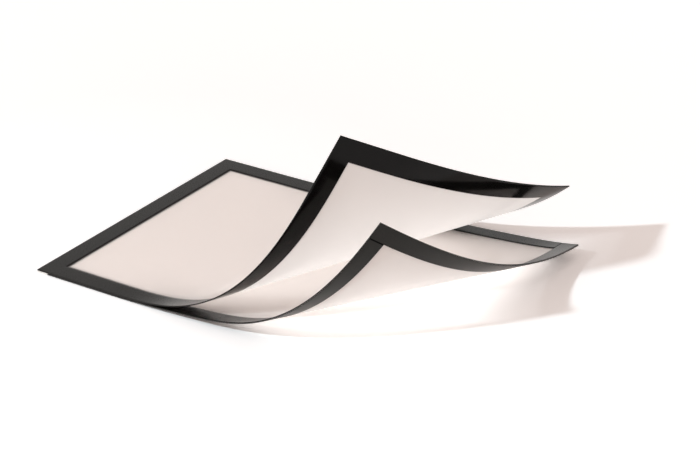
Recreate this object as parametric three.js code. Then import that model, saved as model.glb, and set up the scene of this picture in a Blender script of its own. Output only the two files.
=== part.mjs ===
// Magnetic document pocket for A4 sheets, lying open on a table.
// Two flexible film sheets are taped together along one short side, the hinge side.
// Each carries flat strips of magnetic rubber round its border.
// The free ends of both sheets curl up, the cover more than the back.
// Units are millimetres and +Z is up. +X runs from the hinge side to the free side.
// The origin lies on the table, under the middle of the taped hinge joint.

import * as THREE from 'three';

// Flat size of both sheets: an A4 page with a border all round.
const PAGE_LENGTH = 297;
const PAGE_WIDTH = 210;
const PAGE_BORDER = 13;
const SHEET_LENGTH = PAGE_LENGTH + 2 * PAGE_BORDER;
const SHEET_WIDTH = PAGE_WIDTH + 2 * PAGE_BORDER;

// Film and magnetic strips.
const FILM_THICKNESS = 0.3;
const BACK_STRIP_WIDTH = 13;
const BACK_STRIP_THICKNESS = 0.8;
const COVER_STRIP_WIDTH = 15;
const COVER_STRIP_THICKNESS = 0.5;
const STRIP_CORNER_CUT = 0.8;
const TAPE_WIDTH = 9.5;

// Clearances: between two layers, and where the ends of two strips meet.
const LAYER_GAP = 0.1;
const JOINT_GAP = 0.3;

// Each sheet bends along straight fold lines that fan out from the near long edge.
// firstFold and lastFold: where the fold lines cross the near edge, from the hinge side.
// firstTilt and lastTilt: how far the lines lean from the sheet's width, in degrees.
// bendRates: how sharply the sheet turns at five even steps from the first fold to the
// last one, each as the degrees that a steady bend of that rate would turn in all.
const FOLD_COUNT = 40;
const BACK_BEND = {
  firstFold: 70.5,
  lastFold: 310,
  firstTilt: 26.5,
  lastTilt: 42,
  bendRates: [33, 3, 144, 127, 76],
};
const COVER_BEND = {
  firstFold: 66.5,
  lastFold: 274,
  firstTilt: 18,
  lastTilt: 40.5,
  bendRates: [4, 102, 115, 86, 47],
};

// Heights of the layers in each sheet, above the underside of that sheet's film.
const FILM_LAYER = { low: 0, high: FILM_THICKNESS };
const STRIP_LOW = FILM_THICKNESS + LAYER_GAP;
const BACK_STRIP_LAYER = { low: STRIP_LOW, high: STRIP_LOW + BACK_STRIP_THICKNESS };
const COVER_STRIP_LAYER = { low: STRIP_LOW, high: STRIP_LOW + COVER_STRIP_THICKNESS };
const COVER_HEIGHT = BACK_STRIP_LAYER.high + LAYER_GAP;

const MATERIALS = {
  clearFilm: new THREE.MeshStandardMaterial({ color: 0xece1dc, roughness: 0.45, metalness: 0 }),
  coverRubber: new THREE.MeshStandardMaterial({ color: 0x46423f, roughness: 0.6, metalness: 0 }),
  backRubber: new THREE.MeshStandardMaterial({ color: 0x32322e, roughness: 0.7, metalness: 0 }),
  tape: new THREE.MeshStandardMaterial({ color: 0xf4f2ee, roughness: 0.8, metalness: 0 }),
};

// Bend rate at a share of the way, 0 to 1, through the fold lines.
function bendRateAt(bendRates, share) {
  const place = share * (bendRates.length - 1);
  const step = Math.min(Math.floor(place), bendRates.length - 2);
  return THREE.MathUtils.lerp(bendRates[step], bendRates[step + 1], place - step);
}

// The fold lines of one sheet: where each crosses the near edge, its lean and its turn.
function foldLines(bend) {
  const folds = [];
  for (let i = 0; i < FOLD_COUNT; i += 1) {
    const share = (i + 0.5) / FOLD_COUNT;
    const tilt = THREE.MathUtils.degToRad(THREE.MathUtils.lerp(bend.firstTilt, bend.lastTilt, share));
    const turn = THREE.MathUtils.degToRad(bendRateAt(bend.bendRates, share)) / FOLD_COUNT;
    const across = THREE.MathUtils.lerp(bend.firstFold, bend.lastFold, share);
    folds.push({ across, tilt, turn });
  }
  return folds;
}

// How far a flat point lies past a fold line, on the free side of it.
function distancePast(fold, point) {
  return (point.x - fold.across) * Math.cos(fold.tilt) - point.y * Math.sin(fold.tilt);
}

// The turn about one fold line that lifts what lies past it.
function turnAbout(fold) {
  const axis = new THREE.Vector3(-Math.sin(fold.tilt), -Math.cos(fold.tilt), 0);
  const toLine = new THREE.Matrix4().makeTranslation(fold.across, 0, 0);
  const turned = new THREE.Matrix4().makeRotationAxis(axis, fold.turn);
  const back = new THREE.Matrix4().makeTranslation(-fold.across, 0, 0);
  return toLine.multiply(turned).multiply(back);
}

// A bent sheet: its fold lines, and the place and normal of each flat facet between them.
function makeSheet(bend) {
  const folds = foldLines(bend);
  const places = [new THREE.Matrix4()];
  for (const fold of folds) {
    const last = places[places.length - 1];
    places.push(last.clone().multiply(turnAbout(fold)));
  }
  const normals = places.map((place) => new THREE.Vector3(0, 0, 1).transformDirection(place));
  return { folds, places, normals };
}

// The two parts of a flat outline, before and past a fold line.
// Corners on the line carry its number, so that both parts share them.
function splitOutline(outline, fold, foldNumber) {
  const before = [];
  const past = [];
  outline.forEach((corner, i) => {
    const next = outline[(i + 1) % outline.length];
    const here = distancePast(fold, corner);
    const there = distancePast(fold, next);
    (here > 0 ? past : before).push(corner);
    if (here > 0 !== there > 0) {
      const share = here / (here - there);
      const crossing = {
        x: THREE.MathUtils.lerp(corner.x, next.x, share),
        y: THREE.MathUtils.lerp(corner.y, next.y, share),
        foldNumber,
      };
      before.push(crossing);
      past.push(crossing);
    }
  });
  return { before, past };
}

// The flat outline cut into one polygon for each facet of the sheet that it touches.
function cutIntoFacets(sheet, outline) {
  const facets = [];
  let rest = outline;
  sheet.folds.forEach((fold, i) => {
    const { before, past } = splitOutline(rest, fold, i);
    if (before.length > 2) {
      facets.push({ number: i, corners: before });
    }
    rest = past;
  });
  if (rest.length > 2) {
    facets.push({ number: sheet.folds.length, corners: rest });
  }
  return facets;
}

// Where a flat corner ends up on the bent sheet, at a height above the film's underside.
// On a fold line the height follows the mitre between the two facets.
function bendCorner(sheet, facetNumber, corner, height) {
  const onFold = corner.foldNumber !== undefined;
  const facet = onFold ? corner.foldNumber : facetNumber;
  const point = new THREE.Vector3(corner.x, corner.y, 0).applyMatrix4(sheet.places[facet]);
  const up = sheet.normals[facet].clone();
  if (onFold) {
    const nextUp = sheet.normals[facet + 1];
    const spread = 1 + up.dot(nextUp);
    up.add(nextUp).divideScalar(spread);
  }
  return point.addScaledVector(up, height);
}

// A closed layer of a bent sheet: the outline, from one height above the film's underside
// to another, with its faces following the facets.
function makeLayerGeometry(sheet, outline, layer) {
  const positions = [];
  const indices = [];
  const numbers = new Map();
  const numberOf = (facetNumber, corner) => {
    if (!numbers.has(corner)) {
      numbers.set(corner, positions.length / 3);
      positions.push(...bendCorner(sheet, facetNumber, corner, layer.low).toArray());
      positions.push(...bendCorner(sheet, facetNumber, corner, layer.high).toArray());
    }
    return numbers.get(corner);
  };
  for (const { number, corners } of cutIntoFacets(sheet, outline)) {
    const low = corners.map((corner) => numberOf(number, corner));
    for (let i = 1; i < low.length - 1; i += 1) {
      indices.push(low[0] + 1, low[i] + 1, low[i + 1] + 1);
      indices.push(low[0], low[i + 1], low[i]);
    }
    corners.forEach((corner, i) => {
      const j = (i + 1) % corners.length;
      const alongFold = corner.foldNumber !== undefined && corner.foldNumber === corners[j].foldNumber;
      if (!alongFold) {
        indices.push(low[i], low[j], low[j] + 1);
        indices.push(low[i], low[j] + 1, low[i] + 1);
      }
    });
  }
  const geometry = new THREE.BufferGeometry();
  geometry.setAttribute('position', new THREE.Float32BufferAttribute(positions, 3));
  geometry.setIndex(indices);
  geometry.computeVertexNormals();
  return geometry;
}

// A flat rectangle, counter-clockwise. cutCorners lists the corners that are nipped off:
// 0 is at the hinge side and near edge, 1 free and near, 2 free and far, 3 hinge and far.
function rectangle(lowX, lowY, highX, highY, cutCorners = [], cut = 0) {
  const corners = [
    { x: lowX, y: lowY, inX: 0, inY: 1, outX: 1, outY: 0 },
    { x: highX, y: lowY, inX: -1, inY: 0, outX: 0, outY: 1 },
    { x: highX, y: highY, inX: 0, inY: -1, outX: -1, outY: 0 },
    { x: lowX, y: highY, inX: 1, inY: 0, outX: 0, outY: -1 },
  ];
  return corners.flatMap((corner, i) => {
    if (!cutCorners.includes(i)) {
      return [{ x: corner.x, y: corner.y }];
    }
    return [
      { x: corner.x + corner.inX * cut, y: corner.y + corner.inY * cut },
      { x: corner.x + corner.outX * cut, y: corner.y + corner.outY * cut },
    ];
  });
}

function makePiece(name, sheet, outline, layer, material) {
  const piece = new THREE.Mesh(makeLayerGeometry(sheet, outline, layer), material);
  piece.name = name;
  return piece;
}

// The two long strips of a border, between the ends that their short strips leave free.
// Their inner corners are nipped off at both ends.
function makeLongStrips(prefix, sheet, start, end, width, layer, material) {
  const farLow = SHEET_WIDTH - width;
  const near = rectangle(start, 0, end, width, [2, 3], STRIP_CORNER_CUT);
  const far = rectangle(start, farLow, end, SHEET_WIDTH, [0, 1], STRIP_CORNER_CUT);
  return [
    makePiece(`${prefix}_near`, sheet, near, layer, material),
    makePiece(`${prefix}_far`, sheet, far, layer, material),
  ];
}

// The back sheet: film, two long strips, a strip on the free side and the hinge tape.
function makeBackSheet() {
  const sheet = makeSheet(BACK_BEND);
  const group = new THREE.Group();
  const whole = rectangle(0, 0, SHEET_LENGTH, SHEET_WIDTH);
  const freeStart = SHEET_LENGTH - BACK_STRIP_WIDTH;
  const free = rectangle(freeStart, 0, SHEET_LENGTH, SHEET_WIDTH);
  const tape = rectangle(0, 0, TAPE_WIDTH, SHEET_WIDTH);
  const longStart = TAPE_WIDTH + JOINT_GAP;
  const longEnd = freeStart - JOINT_GAP;
  const rubber = MATERIALS.backRubber;
  group.add(makePiece('back_film', sheet, whole, FILM_LAYER, MATERIALS.clearFilm));
  group.add(makePiece('back_strip_free', sheet, free, BACK_STRIP_LAYER, rubber));
  group.add(makePiece('hinge_tape', sheet, tape, BACK_STRIP_LAYER, MATERIALS.tape));
  group.add(
    ...makeLongStrips('back_strip', sheet, longStart, longEnd, BACK_STRIP_WIDTH, BACK_STRIP_LAYER, rubber),
  );
  return group;
}

// The cover sheet: film and a full border of four strips, laid on the tape and the back.
function makeCoverSheet() {
  const sheet = makeSheet(COVER_BEND);
  const group = new THREE.Group();
  const whole = rectangle(0, 0, SHEET_LENGTH, SHEET_WIDTH);
  const freeStart = SHEET_LENGTH - COVER_STRIP_WIDTH;
  const free = rectangle(freeStart, 0, SHEET_LENGTH, SHEET_WIDTH);
  const hinge = rectangle(0, 0, COVER_STRIP_WIDTH, SHEET_WIDTH);
  const longStart = COVER_STRIP_WIDTH + JOINT_GAP;
  const longEnd = freeStart - JOINT_GAP;
  const rubber = MATERIALS.coverRubber;
  group.add(makePiece('cover_film', sheet, whole, FILM_LAYER, MATERIALS.clearFilm));
  group.add(makePiece('cover_strip_hinge', sheet, hinge, COVER_STRIP_LAYER, rubber));
  group.add(makePiece('cover_strip_free', sheet, free, COVER_STRIP_LAYER, rubber));
  group.add(
    ...makeLongStrips('cover_strip', sheet, longStart, longEnd, COVER_STRIP_WIDTH, COVER_STRIP_LAYER, rubber),
  );
  group.position.z = COVER_HEIGHT;
  return group;
}

const pocket = new THREE.Group();
pocket.name = 'magnetic_document_pocket';
pocket.position.set(-TAPE_WIDTH / 2, -SHEET_WIDTH / 2, 0);
pocket.add(makeBackSheet(), makeCoverSheet());

export default pocket;
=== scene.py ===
# %% [markdown]
# # A magnetic document pocket in Blender
# The object is a flat pocket for one A4 page: two film sheets, taped together along one short
# side, with strips of magnetic rubber round their borders. The free ends curl up. The parts come
# in as a fixed frame of faceted solids. Here they get fine, smooth surfaces of the same size in
# the same place, and finishes worked out from nodes.
#
# The whole lesson hangs on one idea: a sheet of film bends without stretching. Such a shape is
# ruled by straight lines, so the same formula that bends a flat point can bend any layer.

import math

import bpy
import numpy as np
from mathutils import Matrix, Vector


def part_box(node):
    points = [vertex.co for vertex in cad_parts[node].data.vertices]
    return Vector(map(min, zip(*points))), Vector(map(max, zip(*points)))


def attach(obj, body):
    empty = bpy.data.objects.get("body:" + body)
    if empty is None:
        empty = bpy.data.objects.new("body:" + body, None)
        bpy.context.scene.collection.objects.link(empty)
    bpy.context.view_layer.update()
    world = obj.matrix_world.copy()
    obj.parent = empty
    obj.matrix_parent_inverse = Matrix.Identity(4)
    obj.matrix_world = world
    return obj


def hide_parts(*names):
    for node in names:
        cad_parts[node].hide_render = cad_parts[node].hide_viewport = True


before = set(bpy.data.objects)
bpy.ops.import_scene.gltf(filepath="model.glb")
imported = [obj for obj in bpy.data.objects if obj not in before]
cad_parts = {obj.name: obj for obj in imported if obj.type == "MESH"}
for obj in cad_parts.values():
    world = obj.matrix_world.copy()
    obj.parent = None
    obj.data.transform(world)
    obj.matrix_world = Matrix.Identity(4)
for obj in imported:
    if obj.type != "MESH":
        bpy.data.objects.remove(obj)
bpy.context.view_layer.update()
print("CAD nodes:", sorted(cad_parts))

# %% [markdown]
# ## Sizes
# The frame already knows most sizes: the hinge strip and the tape lie flat, so their boxes give
# the widths and the heights of the layers. Reading them there means that nothing has to be fitted
# by hand. Only what those two boxes can't tell is written down: the sheets' length, the film's
# thickness, the widths of the back's strips and of the print, and the cuts at the joints.

# %% Read the flat sizes from the frame
MM = 0.001
hinge_low, hinge_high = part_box("cover_strip_hinge")
tape_low, tape_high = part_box("hinge_tape")
ORIGIN_X = hinge_low.x
ORIGIN_Y = hinge_low.y
SHEET_LENGTH = 323 * MM
SHEET_WIDTH = hinge_high.y - hinge_low.y
COVER_STRIP_WIDTH = hinge_high.x - hinge_low.x
TAPE_WIDTH = tape_high.x - tape_low.x
FILM_THICKNESS = 0.3 * MM
STRIP_LOW = tape_low.z
BACK_STRIP_HIGH = tape_high.z
COVER_HEIGHT = hinge_low.z - STRIP_LOW
COVER_STRIP_HIGH = hinge_high.z - COVER_HEIGHT
BACK_STRIP_WIDTH = 13 * MM
PRINT_WIDTH = 16.5 * MM
JOINT_GAP = 0.3 * MM
CORNER_CUT = 0.8 * MM
print("sheet", SHEET_LENGTH, SHEET_WIDTH, "cover at", COVER_HEIGHT)

# %% [markdown]
# ## Bending a flat sheet
# Film can't stretch, so it bends only about straight lines. On this pocket the lines fan out: they
# cross the near edge closely spaced and lean more and more towards the free end, which makes the
# near corner curl highest. A modifier such as Simple Deform bends about parallel lines only, so
# the fan is worked out with numpy: each line turns all that lies past it by a small angle, and a
# point takes the sum of the turns of the lines that it lies past.

# %% The fan of fold lines
FOLD_STEPS = 600
BACK_BEND = {
    "folds": (70.5 * MM, 310 * MM),
    "tilts": (26.5, 42),
    "rates": (33, 3, 144, 127, 76),
}
COVER_BEND = {
    "folds": (66.5 * MM, 274 * MM),
    "tilts": (18, 40.5),
    "rates": (4, 102, 115, 86, 47),
}


def make_fan(bend):
    """Fold lines as arrays, and the place of each facet between them.

    The share t runs from 0 to 1 through the lines. Place on the near edge and lean go evenly
    with t, and the turn of a line is the bend rate at t over the number of lines. Each facet's
    place is the last one's, turned about the line between them.
    """
    t = (np.arange(FOLD_STEPS) + 0.5) / FOLD_STEPS
    across = np.interp(t, (0, 1), bend["folds"])
    tilt = np.radians(np.interp(t, (0, 1), bend["tilts"]))
    rate = np.interp(t, np.linspace(0, 1, len(bend["rates"])), bend["rates"])
    turn = np.radians(rate) / FOLD_STEPS
    turns = [np.eye(3)]
    shifts = [np.zeros(3)]
    for x, lean, angle in zip(across, tilt, turn):
        axis = -np.array([math.sin(lean), math.cos(lean), 0])
        cross = np.array([[0, -axis[2], axis[1]], [axis[2], 0, -axis[0]], [-axis[1], axis[0], 0]])
        turned = np.eye(3) + math.sin(angle) * cross + (1 - math.cos(angle)) * cross @ cross
        point = np.array([x, 0, 0])
        shifts.append(shifts[-1] + turns[-1] @ (point - turned @ point))
        turns.append(turns[-1] @ turned)
    return {"across": across, "tilt": tilt, "turns": np.array(turns), "shifts": np.array(shifts)}


def bend_points(fan, flat, height):
    """Flat points (x, y) and their height above the film's underside, put on the bent sheet.

    A point's facet is the number of fold lines that it lies past. Its place is the facet's turn
    and shift of the flat point, plus the height along the facet's normal.
    """
    past = (flat[:, :1] - fan["across"]) * np.cos(fan["tilt"]) - flat[:, 1:] * np.sin(fan["tilt"])
    facet = (past > 0).sum(axis=1)
    raised = np.column_stack([flat, height])
    return np.einsum("nij,nj->ni", fan["turns"][facet], raised) + fan["shifts"][facet]


BACK_FAN = make_fan(BACK_BEND)
COVER_FAN = make_fan(COVER_BEND)
for name, fan in (("back", BACK_FAN), ("cover", COVER_FAN)):
    corner = bend_points(fan, np.array([[SHEET_LENGTH, 0.0]]), np.zeros(1))[0]
    print(name, "near free corner is", round(corner[2] / MM), "mm up")

# %% [markdown]
# ## One grid for every layer
# Each piece is a thin rectangle or frame: film, a strip, the tape. A cube with Solidify and Bevel
# would do for a flat one, but the bend needs many rows anyway, so the grid is made directly: a top
# and a bottom of the same rows and columns, joined by a wall, with the rows next to the edge set
# close together to round it.

# %% Grid lines, quads and distances to the edge
EDGE_SHARES = np.array([0, 0.12, 0.45, 1.0])


def grid_lines(stops, step, radius):
    """Places from stop to stop: closely set over the edge radius at both ends, even between."""
    places = []
    for low, high in zip(stops, stops[1:]):
        count = max(2, int(round((high - low - 2 * radius) / step)) + 1)
        middle = np.linspace(low + radius, high - radius, count)
        places += [low + radius * EDGE_SHARES[:-1], middle, high - radius * EDGE_SHARES[-2::-1]]
    return np.unique(np.concatenate(places))


def grid_quads(rows, columns):
    """The quads of a grid that faces up, as the numbers of their four points."""
    number = np.arange(rows * columns).reshape(rows, columns)
    corners = [number[:-1, :-1], number[1:, :-1], number[1:, 1:], number[:-1, 1:]]
    return np.column_stack([corner.ravel() for corner in corners])


def side_distance(flat, rect):
    """Distance of each flat point to the nearest side of a rectangle, negative outside it."""
    x, y = flat.T
    return np.stack([x - rect[0], rect[2] - x, y - rect[1], rect[3] - y]).min(axis=0)


def edge_distances(flat, rect, hole):
    """Distance of each flat point to the nearest edge of the piece, its hole's edges too."""
    distance = side_distance(flat, rect)
    if hole is None:
        return distance
    return np.minimum(distance, np.clip(-side_distance(flat, hole), 0, None))


def edge_drop(distance, radius):
    """How far a round edge lies below the flat top, at a distance in from the side."""
    inside = np.clip(radius - distance, 0, radius)
    return radius - np.sqrt(radius**2 - inside**2)


print("rows over a round edge:", len(EDGE_SHARES))

# %% [markdown]
# ## Holes, cut corners and walls
# The cover's border is a frame, so the quads in its window are left out. The back's long strips
# have their inner corners nipped off where they meet the free strip. Last, the top gets its
# bottom, and a wall on each edge that is still open, which closes the mesh.

# %% Cut the grid and close it
NIP_REACH = 4 * CORNER_CUT


def cut_hole(flat, quads, hole):
    """Leaves out the quads whose middle lies in the hole, and the points that none then uses."""
    kept = side_distance(flat[quads].mean(axis=1), hole) < 0
    used, numbers = np.unique(quads[kept], return_inverse=True)
    return flat[used], numbers.reshape(-1, 4)


def nip_corners(flat, rect, corners):
    """Slides points back from the ends of a strip so that its listed corners are cut off.

    corners holds pairs (end, side), each 0 for low or 1 for high. Near that end, points closer to
    that side than the cut move in by what is missing to the cut.
    """
    flat = flat.copy()
    for end, side in corners:
        from_side = np.abs(flat[:, 1] - rect[1 + 2 * side])
        from_end = np.abs(flat[:, 0] - rect[2 * end])
        missing = np.clip(CORNER_CUT - from_side, 0, None)
        slide = missing * np.clip(1 - from_end / NIP_REACH, 0, 1)
        flat[:, 0] += slide * (1 - 2 * end)
    return flat


def close_layer(quads, count):
    """Top quads, their copies turned over for the bottom, and a wall on each open edge.

    An edge is open where no quad runs along it the other way.
    """
    starts = quads.ravel()
    ends = np.roll(quads, -1, axis=1).ravel()
    is_open = ~np.isin(starts * count + ends, ends * count + starts)
    start, end = starts[is_open], ends[is_open]
    walls = np.column_stack([start + count, end + count, end, start])
    return np.concatenate([quads, quads[:, ::-1] + count, walls])


closed_quad = close_layer(grid_quads(2, 2), 4)
print("one quad closes to", len(closed_quad), "faces")

# %% [markdown]
# ## From arrays to a mesh
# The flat coordinates go into a UV map, because finishes such as the printed border follow the
# sheet and not the room. On a strip that runs across the sheet they are swapped, so that the
# lines in the rubber run along every strip.

# %% Make a layer
def add_mesh(name, points, quads, uv):
    """A smooth mesh object from arrays of points, quads and the UV place of each point."""
    mesh = bpy.data.meshes.new(name)
    mesh.from_pydata(points, [], quads.tolist())
    layer = mesh.uv_layers.new(name="flat")
    corners = np.empty(len(mesh.loops), dtype=np.int32)
    mesh.loops.foreach_get("vertex_index", corners)
    layer.data.foreach_set("uv", uv[corners].astype(np.float32).ravel())
    mesh.polygons.foreach_set("use_smooth", np.ones(len(mesh.polygons), dtype=bool))
    mesh.update()
    piece = bpy.data.objects.new(name, mesh)
    bpy.context.collection.objects.link(piece)
    return piece


def make_layer(
    name, fan, rect, low, high, step, radius, lift=0.0, nipped=(), grain="x", hole=None, two_sided=False
):
    """A closed thin piece: rect is (low x, low y, high x, high y) on the flat sheet.

    hole is a rectangle left out of it, so that one piece can be a whole frame. The top height is
    high minus the edge drop and the bottom height is low plus it, where the drop goes by the
    distance to the nearest edge. Both are bent with the sheet, then moved to the frame's origin.
    A two-sided piece takes its second finish on the bottom and the walls.
    """
    x_stops = (rect[0], rect[2]) if hole is None else (rect[0], hole[0], hole[2], rect[2])
    y_stops = (rect[1], rect[3]) if hole is None else (rect[1], hole[1], hole[3], rect[3])
    xs = grid_lines(x_stops, step, radius)
    ys = grid_lines(y_stops, step, radius)
    x, y = np.meshgrid(xs, ys, indexing="ij")
    flat = np.column_stack([x.ravel(), y.ravel()])
    quads = grid_quads(len(xs), len(ys))
    if hole is not None:
        flat, quads = cut_hole(flat, quads, hole)
    drop = edge_drop(edge_distances(flat, rect, hole), radius)
    cut = nip_corners(flat, rect, nipped)
    top = bend_points(fan, cut, high - drop)
    bottom = bend_points(fan, cut, low + drop)
    points = np.concatenate([top, bottom]) + np.array([ORIGIN_X, ORIGIN_Y, lift])
    faces = close_layer(quads, len(flat))
    along = flat if grain == "x" else flat[:, ::-1]
    piece = add_mesh(name, points, faces, np.concatenate([along, along]))
    if two_sided:
        below = (np.arange(len(faces)) >= len(quads)).astype(np.int32)
        piece.data.polygons.foreach_set("material_index", below)
    return piece


# %% [markdown]
# ## Shader maths as Python
# A finish such as a printed border with a raised line in it needs a little maths. A row of Math
# nodes is hard to read, so a small class wraps a socket and gives it plus, minus and times. An
# expression on it adds the nodes, and reads like the formula.

# %% A socket that can be calculated with
class Value:
    """A shader socket with arithmetic: each operator adds one Math node to the same tree."""

    def __init__(self, finish, socket):
        self.finish = finish
        self.socket = socket

    def math(self, operation, *others):
        return self.finish.node("ShaderNodeMath", {"operation": operation}, [self, *others])

    def __add__(self, other):
        return self.math("ADD", other)

    def __sub__(self, other):
        return self.math("SUBTRACT", other)

    def __mul__(self, other):
        return self.math("MULTIPLY", other)

    def __radd__(self, other):
        return self.math("ADD", other)

    def __rsub__(self, other):
        return self.finish.node("ShaderNodeMath", {"operation": "SUBTRACT"}, [other, self])

    def __rmul__(self, other):
        return self.math("MULTIPLY", other)

    def least(self, other):
        return self.math("MINIMUM", other)

    def most(self, other):
        return self.math("MAXIMUM", other)

    def beyond(self, edge, softness):
        """0 below the edge, 1 above it, with a soft step between."""
        inputs = {"Value": self, "From Min": edge - softness, "From Max": edge + softness}
        return self.finish.node("ShaderNodeMapRange", {"interpolation_type": "SMOOTHSTEP"}, inputs)


# %% [markdown]
# ## One way to add a node
# Every other node comes from one method: it takes the node's type, its settings, and then the
# values or links of its sockets. The few kinds that come back often, such as noise and bump, get
# a short name on top of it.

# %% A material's node tree
class Finish:
    """A material's node tree. node() adds any node: its type, its settings, then its inputs."""

    def __init__(self, name):
        self.material = bpy.data.materials.new(name)
        self.material.use_nodes = True
        self.tree = self.material.node_tree
        self.tree.nodes.clear()

    def node(self, kind, settings=None, inputs=None, output=0):
        made = self.tree.nodes.new(kind)
        for key, value in (settings or {}).items():
            setattr(made, key, value)
        pairs = inputs.items() if isinstance(inputs, dict) else enumerate(inputs or [])
        for key, value in pairs:
            socket = made.inputs[key]
            if isinstance(value, Value):
                self.tree.links.new(value.socket, socket)
            else:
                socket.default_value = value
        return Value(self, made.outputs[output])

    def flat_place(self):
        """The flat coordinates of the surface, in metres, as (along, across)."""
        place = self.node("ShaderNodeUVMap", {"uv_map": "flat"})
        along = self.node("ShaderNodeSeparateXYZ", inputs=[place])
        return along, Value(self, along.socket.node.outputs["Y"])

    def object_place(self):
        return self.node("ShaderNodeTexCoord", output="Object")

    def noise(self, place, scale, detail=2.0):
        return self.node("ShaderNodeTexNoise", {}, {"Vector": place, "Scale": scale, "Detail": detail})

    def bump(self, height, strength, distance):
        """Raised and sunk detail, from a height in units of the distance."""
        inputs = {"Strength": strength, "Distance": distance, "Height": height}
        return self.node("ShaderNodeBump", {}, inputs)

    def colour_mix(self, share, first, second):
        """A colour between two, by a share that may change over the surface."""
        inputs = {"Factor": share, 6: first, 7: second}
        return self.node("ShaderNodeMix", {"data_type": "RGBA"}, inputs, output=2)

    def shader_mix(self, share, first, second):
        """A shader between two, by a share that may change over the surface."""
        return self.node("ShaderNodeMixShader", {}, {0: share, 1: first, 2: second})

    def finish_with(self, shader):
        out = self.tree.nodes.new("ShaderNodeOutputMaterial")
        self.tree.links.new(shader.socket, out.inputs["Surface"])
        return self.material


# %% [markdown]
# ## Frosted film
# The windows are frosted film: clear plastic with a matt skin inside and a glossy one outside. It
# scatters what is behind it, so it is part rough glass, part haze that glows when it is lit from
# behind, under a thin gloss coat. Lamps would throw a grey shadow through it, yet the real film
# passes most of their light and only smears it, so shadow rays pass it too. Close to the border
# less light is smeared in, and so the share that passes grows with the distance from the edge.
# Flat on the table the smear has no room to spread, and that share is the same all over.

# %% The window's shader
FILM_TINT = (0.90, 0.865, 0.85, 1)
FILM_TINT_PALE = (0.93, 0.895, 0.88, 1)
FILM_CLOUD_SCALE = 9.0
FILM_ROUGHNESS = 0.45
FILM_IOR = 1.3
FILM_CLEAR_SHARE = 0.3
FILM_GRAIN_SCALE = 2600.0
FILM_GRAIN_STRENGTH = 0.2
FILM_GRAIN_DEPTH = 0.04 * MM
COAT_ROUGHNESS = 0.09
COAT_IOR = 1.4
GLOW_TINT = (0.935, 0.903, 0.887, 1)
GLOW_SHARE = 0.64
LAMP_TINT = (0.89, 0.872, 0.865, 1)
LEAST_LAMP_SHARE = 0.4
SMEAR_WIDTH = 36 * MM
SMEAR_START = 60 * MM
SMEAR_FULL = 200 * MM


def edge_distance(along, across):
    """Distance of a flat point to the nearest side of the sheet."""
    ends = along.least(SHEET_LENGTH - along)
    sides = across.least(SHEET_WIDTH - across)
    return ends.least(sides)


def film_for_the_eye(finish):
    """Rough clear plastic under a gloss coat, mixed with haze that glows from behind."""
    place = finish.object_place()
    cloud = finish.noise(place, FILM_CLOUD_SCALE)
    grain = finish.noise(place, FILM_GRAIN_SCALE, 1.0)
    inputs = {
        "Base Color": finish.colour_mix(cloud, FILM_TINT, FILM_TINT_PALE),
        "Roughness": FILM_ROUGHNESS,
        "IOR": FILM_IOR,
        "Transmission Weight": FILM_CLEAR_SHARE,
        "Coat Weight": 1.0,
        "Coat Roughness": COAT_ROUGHNESS,
        "Coat IOR": COAT_IOR,
        "Normal": finish.bump(grain, FILM_GRAIN_STRENGTH, FILM_GRAIN_DEPTH),
    }
    skin = finish.node("ShaderNodeBsdfPrincipled", {}, inputs)
    glow = finish.node("ShaderNodeBsdfTranslucent", {}, {"Color": GLOW_TINT})
    return finish.shader_mix(GLOW_SHARE, skin, glow)


def film_for_lamps(finish, along, distance, border):
    """Open film, closed by a share that falls over the smear width and grows where it is raised."""
    smear = {"Value": distance, 1: border, 2: border + SMEAR_WIDTH, 3: 1 - LEAST_LAMP_SHARE, 4: 0.0}
    smeared = finish.node("ShaderNodeMapRange", {"interpolation_type": "SMOOTHSTEP"}, smear)
    raised = finish.node("ShaderNodeMapRange", {}, {"Value": along, 1: SMEAR_START, 2: SMEAR_FULL})
    open_film = finish.node("ShaderNodeBsdfTransparent", {}, {"Color": LAMP_TINT})
    closed_film = finish.node("ShaderNodeBsdfDiffuse", {}, {"Color": FILM_TINT})
    return finish.shader_mix(1 - smeared * raised, closed_film, open_film)


def frosted_film(finish, along, distance, border):
    """The frosted window inside a border: haze for the eye, and open to the lamps."""
    seen = film_for_the_eye(finish)
    for_lamps = film_for_lamps(finish, along, distance, border)
    is_lamp = finish.node("ShaderNodeLightPath", output="Is Shadow Ray")
    return finish.shader_mix(is_lamp, seen, for_lamps)


# %% [markdown]
# ## The cover's film
# The cover's film has a black border printed on its underside, a little wider than the rubber. From
# above the print is seen through the frost, so its rim looks grey and soft. From below it is glossy
# ink, with a faint ridge where the rubber ends behind it and slow waves that bend its reflections.

# %% Both faces of the cover's film
MASK_SOFTNESS = 0.04 * MM
RIM_COLOUR = (0.055, 0.052, 0.05, 1)
RIM_WIDTH = 1.4 * MM
RIM_SOFTNESS = 1.5 * MM
INK_COLOUR = (0.0035, 0.0035, 0.0034, 1)
INK_ROUGHNESS = 0.09
INK_SMUDGE = 0.05
INK_SMUDGE_SCALE = 30.0
INK_SPECULAR = 0.13
WAVE_SCALE = 55.0
WAVE_HEIGHT = 0.03
RIDGE_HEIGHT = 0.06
RIDGE_SOFTNESS = 0.25 * MM
WAVE_STRENGTH = 0.4
WAVE_DEPTH = 0.6 * MM


def cover_top_finish():
    """The window from above: the print's rim shows grey and soft through the frost."""
    finish = Finish("cover_film_top")
    along, across = finish.flat_place()
    distance = edge_distance(along, across)
    rim = finish.node("ShaderNodeBsdfDiffuse", {}, {"Color": RIM_COLOUR})
    window = frosted_film(finish, along, distance, PRINT_WIDTH)
    clear = distance.beyond(COVER_STRIP_WIDTH + RIM_WIDTH, RIM_SOFTNESS)
    return finish.finish_with(finish.shader_mix(clear, rim, window))


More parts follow.
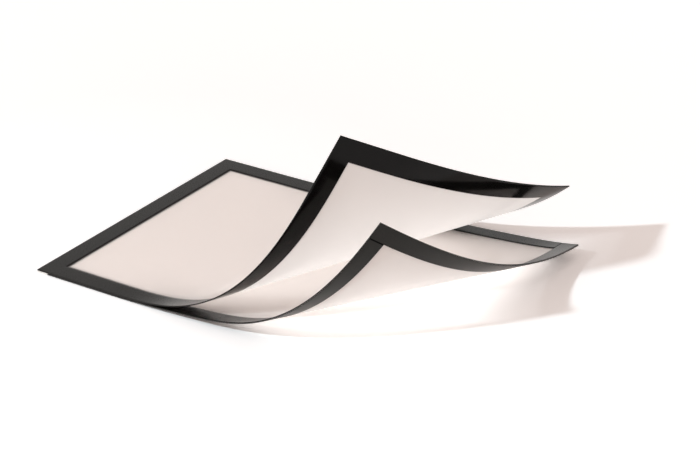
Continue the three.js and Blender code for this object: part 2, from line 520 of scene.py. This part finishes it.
def cover_under_finish():
    """The window from below, the glossy black print round it, and the strip's faint ridge."""
    finish = Finish("cover_film_underside")
    along, across = finish.flat_place()
    distance = edge_distance(along, across)
    place = finish.object_place()
    wave = finish.noise(place, WAVE_SCALE)
    ridge = distance.beyond(COVER_STRIP_WIDTH, RIDGE_SOFTNESS)
    height = ridge * RIDGE_HEIGHT + wave * WAVE_HEIGHT
    smudge = finish.noise(place, INK_SMUDGE_SCALE, 4.0)
    inputs = {
        "Base Color": INK_COLOUR,
        "Roughness": INK_ROUGHNESS + smudge * INK_SMUDGE,
        "Specular IOR Level": INK_SPECULAR,
        "Normal": finish.bump(height, WAVE_STRENGTH, WAVE_DEPTH),
    }
    ink = finish.node("ShaderNodeBsdfPrincipled", {}, inputs)
    window = frosted_film(finish, along, distance, PRINT_WIDTH)
    clear = distance.beyond(PRINT_WIDTH, MASK_SOFTNESS)
    return finish.finish_with(finish.shader_mix(clear, ink, window))


cover_film_finishes = (cover_top_finish(), cover_under_finish())
print("finishes:", [material.name for material in cover_film_finishes])

# %% [markdown]
# ## The back's film
# The back's film is glued to its strips. The glue fills the frost, so from below the dark rubber
# and the white tape show through, and so do the joints: a dark line across the border, wider at
# its inner end, where the long strip's corner is nipped off. From above the strips lie on the
# film, so nothing but the window shows.

# %% Both faces of the back's film
BACKING_DARK = (0.007, 0.0068, 0.006, 1)
BACKING_PALE = (0.017, 0.0165, 0.0145, 1)
BACKING_FLECK_SCALE = 900.0
BACKING_GRAIN_SCALE = 700.0
BACKING_GRAIN_HEIGHT = 0.3
BACKING_ROUGHNESS = 0.36
BACKING_ROUGHNESS_SPREAD = 0.1
BACKING_SPECULAR = 0.22
BACKING_BUMP_STRENGTH = 0.3
BACKING_BUMP_DEPTH = 0.1 * MM
TAPE_DARK = (0.80, 0.79, 0.76, 1)
TAPE_PALE = (0.89, 0.88, 0.86, 1)
SEAM_COLOUR = (0.003, 0.003, 0.003, 1)
SEAM_HALF_WIDTH = 0.5 * MM
SEAM_SOFTNESS = 0.15 * MM


def back_top_finish():
    """The back's window from above. Its strips lie on the film, so nothing else shows."""
    finish = Finish("back_film_top")
    along, across = finish.flat_place()
    distance = edge_distance(along, across)
    return finish.finish_with(frosted_film(finish, along, distance, BACK_STRIP_WIDTH))


def seam_mask(side, free):
    """1 on the joint between a long strip and the free strip, with its widened inner end."""
    offset = (free - BACK_STRIP_WIDTH - 0.5 * JOINT_GAP).math("ABSOLUTE")
    nip = (side - BACK_STRIP_WIDTH + CORNER_CUT).most(0.0)
    line = 1 - (offset - nip).beyond(SEAM_HALF_WIDTH, SEAM_SOFTNESS)
    return line * (1 - side.beyond(BACK_STRIP_WIDTH, MASK_SOFTNESS))


def back_under_finish():
    """The window from below, and the strips, their joints and the tape seen through the glue."""
    finish = Finish("back_film_underside")
    along, across = finish.flat_place()
    place = finish.object_place()
    side = across.least(SHEET_WIDTH - across)
    free = SHEET_LENGTH - along
    behind_strip = 1 - free.least(side).beyond(BACK_STRIP_WIDTH, MASK_SOFTNESS)
    behind_tape = 1 - along.beyond(TAPE_WIDTH, MASK_SOFTNESS)
    seam = seam_mask(side, free)
    fleck = finish.noise(place, BACKING_FLECK_SCALE, 3.0)
    dark = finish.colour_mix(fleck, BACKING_DARK, BACKING_PALE)
    height = finish.noise(place, BACKING_GRAIN_SCALE, 3.0) * BACKING_GRAIN_HEIGHT - seam
    inputs = {
        "Base Color": finish.colour_mix(behind_tape, dark, TAPE_DARK),
        "Roughness": BACKING_ROUGHNESS + (fleck - 0.5) * BACKING_ROUGHNESS_SPREAD,
        "Specular IOR Level": BACKING_SPECULAR,
        "Normal": finish.bump(height, BACKING_BUMP_STRENGTH, BACKING_BUMP_DEPTH),
    }
    backed = finish.node("ShaderNodeBsdfPrincipled", {}, inputs)
    groove = finish.node("ShaderNodeBsdfDiffuse", {}, {"Color": SEAM_COLOUR})
    backed = finish.shader_mix(seam, backed, groove)
    window = frosted_film(finish, along, edge_distance(along, across), BACK_STRIP_WIDTH)
    return finish.finish_with(finish.shader_mix(behind_strip.most(behind_tape), window, backed))


back_film_finishes = (back_top_finish(), back_under_finish())
print("finishes:", [material.name for material in back_film_finishes])

# %% [markdown]
# ## Magnetic rubber and tape
# The strips are rubber filled with magnetic powder, rolled out and slit. They are near black, a
# little brown, with a satin skin and fine lines along their length from the rolling. The noise for
# the lines is stretched along the strip, by the UV map. The tape is plain white foam.

# %% Rubber and tape finishes
COVER_RUBBER = ((0.004, 0.003, 0.0026, 1), (0.014, 0.0115, 0.010, 1))
BACK_RUBBER = ((0.003, 0.0025, 0.0022, 1), (0.011, 0.0095, 0.008, 1))
RUBBER_ROUGHNESS = 0.30
RUBBER_ROUGHNESS_SPREAD = 0.2
RUBBER_SPECULAR = 0.33
RUBBER_MOTTLE_SCALE = 120.0
RUBBER_FLECK_SCALE = 1800.0
LINES_ALONG = 12.0
LINES_ACROSS = 2500.0
RUBBER_BUMP_STRENGTH = 0.3
RUBBER_BUMP_DEPTH = 0.08 * MM
TAPE_CELL_SCALE = 2200.0
TAPE_ROUGHNESS = 0.8
TAPE_BUMP_STRENGTH = 0.3
TAPE_BUMP_DEPTH = 0.1 * MM


def rubber_finish(name, tones):
    """Satin rubber: mottled between two tones, with rolling lines along the strip.

    The tone is half mottle, the rest flecks and lines. The height is half lines, half flecks.
    """
    finish = Finish(name)
    along, across = finish.flat_place()
    place = finish.object_place()
    mottle = finish.noise(place, RUBBER_MOTTLE_SCALE, 5.0)
    fleck = finish.noise(place, RUBBER_FLECK_SCALE)
    stretch = {"X": along * LINES_ALONG, "Y": across * LINES_ACROSS}
    lines = finish.noise(finish.node("ShaderNodeCombineXYZ", {}, stretch), 1.0)
    tone = mottle * 0.5 + fleck * 0.3 + lines * 0.2
    height = lines * 0.5 + fleck * 0.5
    inputs = {
        "Base Color": finish.colour_mix(tone, *tones),
        "Roughness": RUBBER_ROUGHNESS + (fleck - 0.5) * RUBBER_ROUGHNESS_SPREAD,
        "Specular IOR Level": RUBBER_SPECULAR,
        "Normal": finish.bump(height, RUBBER_BUMP_STRENGTH, RUBBER_BUMP_DEPTH),
    }
    return finish.finish_with(finish.node("ShaderNodeBsdfPrincipled", {}, inputs))


def tape_finish():
    """Matt white foam with fine cells."""
    finish = Finish("tape")
    where = {"Vector": finish.object_place(), "Scale": TAPE_CELL_SCALE}
    cells = finish.node("ShaderNodeTexVoronoi", {}, where)
    inputs = {
        "Base Color": finish.colour_mix(cells, TAPE_DARK, TAPE_PALE),
        "Roughness": TAPE_ROUGHNESS,
        "Normal": finish.bump(cells, TAPE_BUMP_STRENGTH, TAPE_BUMP_DEPTH),
    }
    return finish.finish_with(finish.node("ShaderNodeBsdfPrincipled", {}, inputs))


FINISHES = {
    "cover_film": cover_film_finishes,
    "back_film": back_film_finishes,
    "cover_strip": (rubber_finish("cover_strip", COVER_RUBBER),),
    "back_strip": (rubber_finish("back_strip", BACK_RUBBER),),
    "tape": (tape_finish(),),
}
print("finishes:", sorted(FINISHES))

# %% [markdown]
# ## The films
# A film is the whole sheet, from its own underside up to its thickness. The cover's lies on top of
# the closed stack. Each film takes two finishes, one for the top and one for the underside.

# %% Make the back's film
FILM_STEP = 1.6 * MM
FILM_EDGE = 0.08 * MM
WHOLE = (0.0, 0.0, SHEET_LENGTH, SHEET_WIDTH)


def dress(piece, nodes, finish):
    """Gives a piece its finish and its body, and hides the solids that it stands for."""
    for material in FINISHES[finish]:
        piece.data.materials.append(material)
    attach(piece, "root")
    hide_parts(*nodes)
    print(piece.name, len(piece.data.polygons), "faces for", ", ".join(nodes))


def make_film(prefix, fan, lift):
    """A whole sheet of film with its own finish on each side."""
    film = make_layer(
        f"{prefix}_film_skin", fan, WHOLE, 0.0, FILM_THICKNESS, FILM_STEP, FILM_EDGE, lift, two_sided=True
    )
    dress(film, [f"{prefix}_film"], f"{prefix}_film")


make_film("back", BACK_FAN, 0.0)

# %% [markdown]
# ## The back's strips and the tape
# Three strips lie on the back's film, and the tape on its fourth side. The long strips end where
# the free strip begins, with the joint gap between, because both take their ends from the same
# values.

# %% Make the back's strips and the tape
STRIP_STEP = 1.3 * MM
STRIP_EDGE = 0.14 * MM
FREE_START = SHEET_LENGTH - BACK_STRIP_WIDTH
FAR_START = SHEET_WIDTH - BACK_STRIP_WIDTH
LONG_START = TAPE_WIDTH + JOINT_GAP
LONG_END = FREE_START - JOINT_GAP
BACK_STRIPS = {
    "near": ((LONG_START, 0.0, LONG_END, BACK_STRIP_WIDTH), ((0, 1), (1, 1)), "x"),
    "far": ((LONG_START, FAR_START, LONG_END, SHEET_WIDTH), ((0, 0), (1, 0)), "x"),
    "free": ((FREE_START, 0.0, SHEET_LENGTH, SHEET_WIDTH), (), "y"),
}

for side, (rect, nipped, grain) in BACK_STRIPS.items():
    strip = make_layer(
        f"back_strip_{side}_skin", BACK_FAN, rect, STRIP_LOW, BACK_STRIP_HIGH, STRIP_STEP, STRIP_EDGE,
        nipped=nipped, grain=grain,
    )
    dress(strip, [f"back_strip_{side}"], "back_strip")
tape = make_layer(
    "hinge_tape_skin", BACK_FAN, (0.0, 0.0, TAPE_WIDTH, SHEET_WIDTH), STRIP_LOW, BACK_STRIP_HIGH, STRIP_STEP,
    STRIP_EDGE, grain="y",
)
dress(tape, ["hinge_tape"], "tape")

# %% [markdown]
# ## The cover
# The border on the cover shows no joint at all in the photo, so one frame stands there for the
# four solids that lie end to end.

# %% Make the cover's film and border
make_film("cover", COVER_FAN, COVER_HEIGHT)
window = (
    COVER_STRIP_WIDTH, COVER_STRIP_WIDTH, SHEET_LENGTH - COVER_STRIP_WIDTH, SHEET_WIDTH - COVER_STRIP_WIDTH
)
border = make_layer(
    "cover_frame_skin", COVER_FAN, WHOLE, STRIP_LOW, COVER_STRIP_HIGH, STRIP_STEP, STRIP_EDGE, COVER_HEIGHT,
    hole=window,
)
cover_strips = [f"cover_strip_{side}" for side in ("hinge", "near", "far", "free")]
dress(border, cover_strips, "cover_strip")

# %% [markdown]
# ## Floor
# The pocket lies on a white table that is lit past white, so only the shadows show on it. The
# floor does that with its own colour, for rays from the camera only, and the pocket is lit at a
# plain level. The lamp reaches the far floor at a low angle, so this colour grows with the
# distance. It is just white near the pocket, where a brighter floor would drown thin shadows. A
# sharp mirror image and the blurred view through the film each get a level of their own.

# %% Lay the floor
FLOOR_SIZE = 12.0
FLOOR_DEPTH = 0.1 * MM
FLOOR_NEAR = 0.25
FLOOR_FAR = 3.0
FLOOR_SEEN_NEAR = (1.33, 1.34, 1.35, 1)
FLOOR_SEEN_FAR = (2.6, 2.65, 2.7, 1)
FLOOR_MIRRORED = (1.25, 1.25, 1.25, 1)
FLOOR_THROUGH_FILM = (0.66, 0.65, 0.64, 1)
FLOOR_PLAIN = (0.84, 0.83, 0.82, 1)


def background_rays(finish):
    """Three shares that are 1 for rays from the camera, from a mirror, and through glass."""
    path = finish.tree.nodes.new("ShaderNodeLightPath")
    kinds = ("Is Camera Ray", "Is Glossy Ray", "Is Transmission Ray")
    return [Value(finish, path.outputs[kind]) for kind in kinds]


def floor_finish():
    """A white floor, brighter to the camera than it is to the pocket."""
    finish = Finish("floor")
    camera, glossy, through = background_rays(finish)
    place = finish.object_place()
    away = finish.node("ShaderNodeVectorMath", {"operation": "LENGTH"}, [place], output="Value")
    far = finish.node("ShaderNodeMapRange", {}, {"Value": away, 1: FLOOR_NEAR, 2: FLOOR_FAR})
    colour = finish.colour_mix(through, FLOOR_PLAIN, FLOOR_THROUGH_FILM)
    colour = finish.colour_mix(glossy, colour, FLOOR_MIRRORED)
    seen = finish.colour_mix(far, FLOOR_SEEN_NEAR, FLOOR_SEEN_FAR)
    colour = finish.colour_mix(camera, colour, seen)
    return finish.finish_with(finish.node("ShaderNodeBsdfDiffuse", {}, {"Color": colour}))


half = FLOOR_SIZE / 2
floor_corners = [(-half, -half), (half, -half), (half, half), (-half, half)]
floor_mesh = bpy.data.meshes.new("floor")
floor_mesh.from_pydata([(x, y, -FLOOR_DEPTH) for x, y in floor_corners], [], [(0, 1, 2, 3)])
floor_mesh.materials.append(floor_finish())
floor = bpy.data.objects.new("floor", floor_mesh)
bpy.context.collection.objects.link(floor)
print("floor", FLOOR_SIZE, "m wide")

# %% [markdown]
# ## Fill light
# The world fills the shadows, a little warm. It is stronger from the near right, and in a low band
# all round. Light from so low hardly reaches the floor and the flat window, and lights the raised
# ends through the film. The camera sees white instead, and mirrors see a studio: white at the
# horizon, where the backdrop is, and greyer towards the ceiling, which gives the rubber its sheen
# where it turns away.

# %% Light the world
FILL_COLOUR = (1.0, 0.86, 0.80, 1)
FILL_STRENGTH = 0.49
FILL_LEAN = 0.6
FILL_TOWARDS = (0.85, -0.52, 0.0)
FILL_BAND = 3.6
FILL_BAND_TOP = 0.3
BACKDROP_COLOUR = (0.99, 0.98, 0.965, 1)
HORIZON_COLOUR = (1.7, 1.66, 1.6, 1)
CEILING_COLOUR = (0.50, 0.49, 0.48, 1)
HORIZON_TOP = 0.05
CEILING_START = 0.3


class LightFinish(Finish):
    """The same node helper for the world or a lamp, which have their own tree and output."""

    def __init__(self, owner, output):
        owner.use_nodes = True
        self.tree = owner.node_tree
        self.tree.nodes.clear()
        self.output = self.tree.nodes.new(output)

    def finish_with(self, shader):
        self.tree.links.new(shader.socket, self.output.inputs["Surface"])


def fill_strength(finish, place, height):
    """1 plus the lean towards the near right, plus the band that fades out with the height."""
    towards = {"operation": "DOT_PRODUCT"}
    lean = finish.node("ShaderNodeVectorMath", towards, [place, FILL_TOWARDS], output="Value")
    fade = {"Value": height, 1: 0.0, 2: FILL_BAND_TOP, 3: FILL_BAND, 4: 0.0}
    band = finish.node("ShaderNodeMapRange", {}, fade)
    return (lean * FILL_LEAN + band + 1.0) * FILL_STRENGTH


def make_world():
    """Fill light for the surfaces, white for the camera, and a studio for the reflections."""
    world = bpy.data.worlds.new("world")
    bpy.context.scene.world = world
    finish = LightFinish(world, "ShaderNodeOutputWorld")
    place = finish.node("ShaderNodeTexCoord", output="Generated")
    height = finish.node("ShaderNodeSeparateXYZ", {}, [place], output="Z")
    lit = {"Color": FILL_COLOUR, "Strength": fill_strength(finish, place, height)}
    fill = finish.node("ShaderNodeBackground", {}, lit)
    climb = finish.node("ShaderNodeMapRange", {}, {"Value": height, 1: HORIZON_TOP, 2: CEILING_START})
    studio = finish.colour_mix(climb, HORIZON_COLOUR, CEILING_COLOUR)
    mirror = finish.node("ShaderNodeBackground", {}, {"Color": studio})
    white = finish.node("ShaderNodeBackground", {}, {"Color": BACKDROP_COLOUR})
    camera, glossy, through = background_rays(finish)
    rest = finish.shader_mix(glossy, fill, mirror)
    finish.finish_with(finish.shader_mix(camera.most(through), rest, white))


make_world()
print("fill", FILL_STRENGTH, "from", FILL_TOWARDS)

# %% [markdown]
# ## Lamp
# A small round lamp low on the near left gives the long shadows. It is small enough to keep their
# edges crisp where a sheet is close to the table. Its light doesn't fade with the distance, as
# from a far, strong lamp.

# %% Hang the lamp
STAGE_AIM = Vector((0.1534, 0.0601, 0.0))
LAMP_PLACE = Vector((-0.18, -0.80, 0.65))
LAMP_SIZE = 0.05
LAMP_POWER = 5.4
LAMP_COLOUR = (0.86, 0.96, 1.0)


def make_lamp():
    """A disc lamp aimed at the pocket, with a constant falloff."""
    data = bpy.data.lights.new("key", "AREA")
    data.shape = "DISK"
    data.size = LAMP_SIZE
    data.energy = 1.0
    data.color = LAMP_COLOUR
    finish = LightFinish(data, "ShaderNodeOutputLight")
    steady = finish.node("ShaderNodeLightFalloff", {}, {"Strength": LAMP_POWER}, output="Constant")
    finish.finish_with(finish.node("ShaderNodeEmission", {}, {"Strength": steady}))
    lamp = bpy.data.objects.new("key", data)
    bpy.context.collection.objects.link(lamp)
    lamp.location = LAMP_PLACE
    lamp.rotation_euler = (STAGE_AIM - LAMP_PLACE).to_track_quat("-Z", "Y").to_euler()


make_lamp()
print("lamp", round((STAGE_AIM - LAMP_PLACE).length, 2), "m away")

# %% [markdown]
# ## Camera
# The camera stands to the right of the pocket's near side and looks down. Its place and lens were
# fitted to the corners of the pocket and of its shadows.

# %% Place the camera
CAMERA_AZIMUTH = math.radians(32.81)
CAMERA_ELEVATION = math.radians(26.15)
CAMERA_DISTANCE = 1.5987
CAMERA_LENS = 108
CAMERA_SENSOR = 36
CAMERA_NEAREST = 0.05
CAMERA_FARTHEST = 50


def make_camera():
    """A camera on a sphere round the aim, by its azimuth, elevation and distance."""
    data = bpy.data.cameras.new("camera")
    data.lens = CAMERA_LENS
    data.sensor_width = CAMERA_SENSOR
    data.clip_start = CAMERA_NEAREST
    data.clip_end = CAMERA_FARTHEST
    camera = bpy.data.objects.new("camera", data)
    bpy.context.collection.objects.link(camera)
    level = math.cos(CAMERA_ELEVATION)
    right = math.sin(CAMERA_AZIMUTH) * level
    near = math.cos(CAMERA_AZIMUTH) * level
    back = Vector((right, -near, math.sin(CAMERA_ELEVATION)))
    camera.location = STAGE_AIM + back * CAMERA_DISTANCE
    camera.rotation_euler = (-back).to_track_quat("-Z", "Y").to_euler()
    bpy.context.scene.camera = camera


make_camera()
bpy.context.scene.view_settings.view_transform = "Standard"
print("camera", CAMERA_DISTANCE, "m away, lens", CAMERA_LENS)
